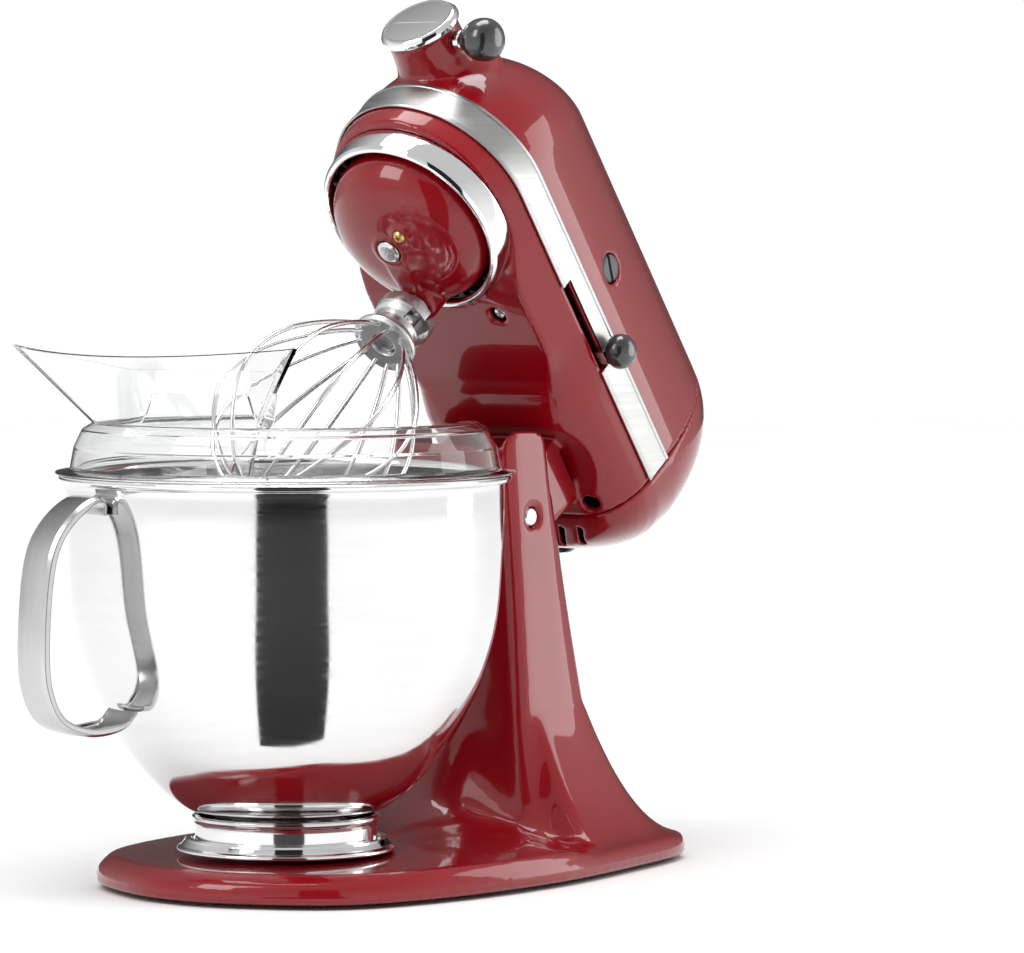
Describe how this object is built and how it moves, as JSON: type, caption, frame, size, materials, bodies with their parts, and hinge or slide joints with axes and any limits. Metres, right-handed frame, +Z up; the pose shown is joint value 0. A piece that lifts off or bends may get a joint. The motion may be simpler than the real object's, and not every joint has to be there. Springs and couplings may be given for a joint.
{
  "type": "stand mixer",
  "caption": "Tilt-head kitchen stand mixer with a red cast body, polished bowl on a bayonet plate, wire whisk on a planetary drive, clear pouring shield and chute.",
  "frame": {"origin": "on the table, under the middle of the whole object's box", "axes": "+Z up; the bowl and the nose of the head are towards -X, the hinge and the cord towards +X; the speed lever is on the -Y side"},
  "size_m": [0.4644, 0.2256, 0.4411],
  "materials": {
    "enamel": "gloss red enamel",
    "cast": "die cast",
    "steel": "polished",
    "chrome": "polished",
    "iron": "machined steel and laminations",
    "brass": "turned",
    "black": "gloss",
    "brushcap": "moulded",
    "carbon": "pressed carbon",
    "rubber": "moulded",
    "clear": "clear moulding",
    "board": "circuit board",
    "copper": "copper segments"
  },
  "bodies": {
    "stand": {"pedestal": "enamel", "hinge_pin": "steel", "height_stop_screw": "steel", "foot_1": "rubber", "foot_2": "rubber", "foot_3": "rubber", "foot_4": "rubber", "foot_5": "rubber", "bowl_clamp_plate": "chrome"},
    "bowl": {"bowl": "steel", "bowl_foot": "steel", "bowl_handle": "steel"},
    "pouring_shield": {"pouring_shield": "clear"},
    "pouring_chute": {"pouring_chute": "clear"},
    "head": {"upper_housing": "enamel", "gearcase": "enamel", "rear_end_cover": "enamel", "trim_band": "steel", "drip_ring": "chrome", "ring_gear": "iron", "shaft_bushing": "brass", "gearcase_screw_1": "steel", "gearcase_screw_2": "steel", "gearcase_screw_3": "steel", "gearcase_screw_4": "steel", "cover_screw": "steel", "cord_gland": "black", "motor_stator": "iron", "front_bearing": "brass", "rear_bearing": "brass", "brush_cap_near": "brushcap", "brush_cap_far": "brushcap", "carbon_brush_near": "carbon", "carbon_brush_far": "carbon", "control_board": "board"},
    "armature": {"armature_shaft": "steel", "armature_core": "iron", "commutator": "copper", "cooling_fan": "cast"},
    "worm_gear": {"worm_gear": "brass", "drive_pinion": "steel"},
    "planetary": {"planetary_hub": "enamel", "planetary_shaft": "steel", "centre_gear": "iron", "hub_screw": "brass"},
    "beater_shaft": {"beater_shaft": "steel", "beater_pinion": "iron", "beater_pin": "steel", "beater_spring": "steel"},
    "whisk": {"whisk_hub": "cast", "whisk_wires": "steel"},
    "hub_drive": {"hub_drive": "steel"},
    "hub_cover": {"hub_cover": "chrome"},
    "attachment_knob": {"attachment_knob": "black", "attachment_screw": "chrome"},
    "speed_lever": {"speed_lever": "steel", "speed_knob": "black"},
    "lock_lever": {"lock_lever": "steel", "lock_knob": "black"}
  },
  "joints": [
    {"name": "head_tilt", "type": "hinge", "parent": "stand", "child": "head", "pos_m": [0.066, 0, 0.1775], "axis": [0, 1, 0], "range_deg": [-53.5, 0]},
    {"name": "bowl_turn", "type": "hinge", "parent": "stand", "child": "bowl", "pos_m": [-0.0828, 0, 0.022], "axis": [0, 0, 1], "range_deg": [0, 25]},
    {"name": "shield_lift", "type": "slide", "parent": "bowl", "child": "pouring_shield", "axis": [0, 0, 1], "range_m": [0, 0.02]},
    {"name": "chute_lift", "type": "slide", "parent": "pouring_shield", "child": "pouring_chute", "axis": [0, 0, 1], "range_m": [0, 0.02]},
    {"name": "planetary_spin", "type": "hinge", "parent": "head", "child": "planetary", "pos_m": [0.01809, 0, 0.32715], "axis": [0.8039, 0, 0.5948], "continuous": true},
    {"name": "beater_spin", "type": "hinge", "parent": "planetary", "child": "beater_shaft", "pos_m": [0.02414, 0, 0.28871], "axis": [0.8039, 0, 0.5948], "continuous": true},
    {"name": "whisk_turn", "type": "hinge", "parent": "beater_shaft", "child": "whisk", "pos_m": [0.00525, 0, 0.27473], "axis": [-0.8039, 0, -0.5948], "range_deg": [0, 35]},
    {"name": "worm_gear_spin", "type": "hinge", "parent": "head", "child": "worm_gear", "pos_m": [0.09172, 0.0273, 0.32953], "axis": [0.8039, 0, 0.5948], "continuous": true},
    {"name": "armature_spin", "type": "hinge", "parent": "head", "child": "armature", "pos_m": [0.13342, 0, 0.27317], "axis": [0.5948, 0, -0.8039], "continuous": true},
    {"name": "hub_drive_spin", "type": "hinge", "parent": "head", "child": "hub_drive", "pos_m": [0.04413, 0, 0.39619], "axis": [0.5948, 0, -0.8039], "continuous": true},
    {"name": "hub_cover_lift", "type": "hinge", "parent": "head", "child": "hub_cover", "pos_m": [0.04076, 0, 0.43723], "axis": [0, 1, 0], "range_deg": [0, 100]},
    {"name": "attachment_knob_turn", "type": "hinge", "parent": "head", "child": "attachment_knob", "pos_m": [0.02807, -0.03, 0.41789], "axis": [0, -1, 0], "range_deg": [0, 720]},
    {"name": "speed_slide", "type": "slide", "parent": "head", "child": "speed_lever", "axis": [-0.5948, 0, 0.8039], "range_m": [0, 0.042]},
    {"name": "lock_slide", "type": "slide", "parent": "head", "child": "lock_lever", "axis": [0.5948, 0, -0.8039], "range_m": [0, 0.012]}
  ],
  "couplings": [
    {"joint": "beater_spin", "follows": "planetary_spin", "ratio": -3.5},
    {"joint": "worm_gear_spin", "follows": "planetary_spin", "ratio": -2.3333},
    {"joint": "armature_spin", "follows": "planetary_spin", "ratio": 46.667},
    {"joint": "hub_drive_spin", "follows": "planetary_spin", "ratio": -2}
  ]
}
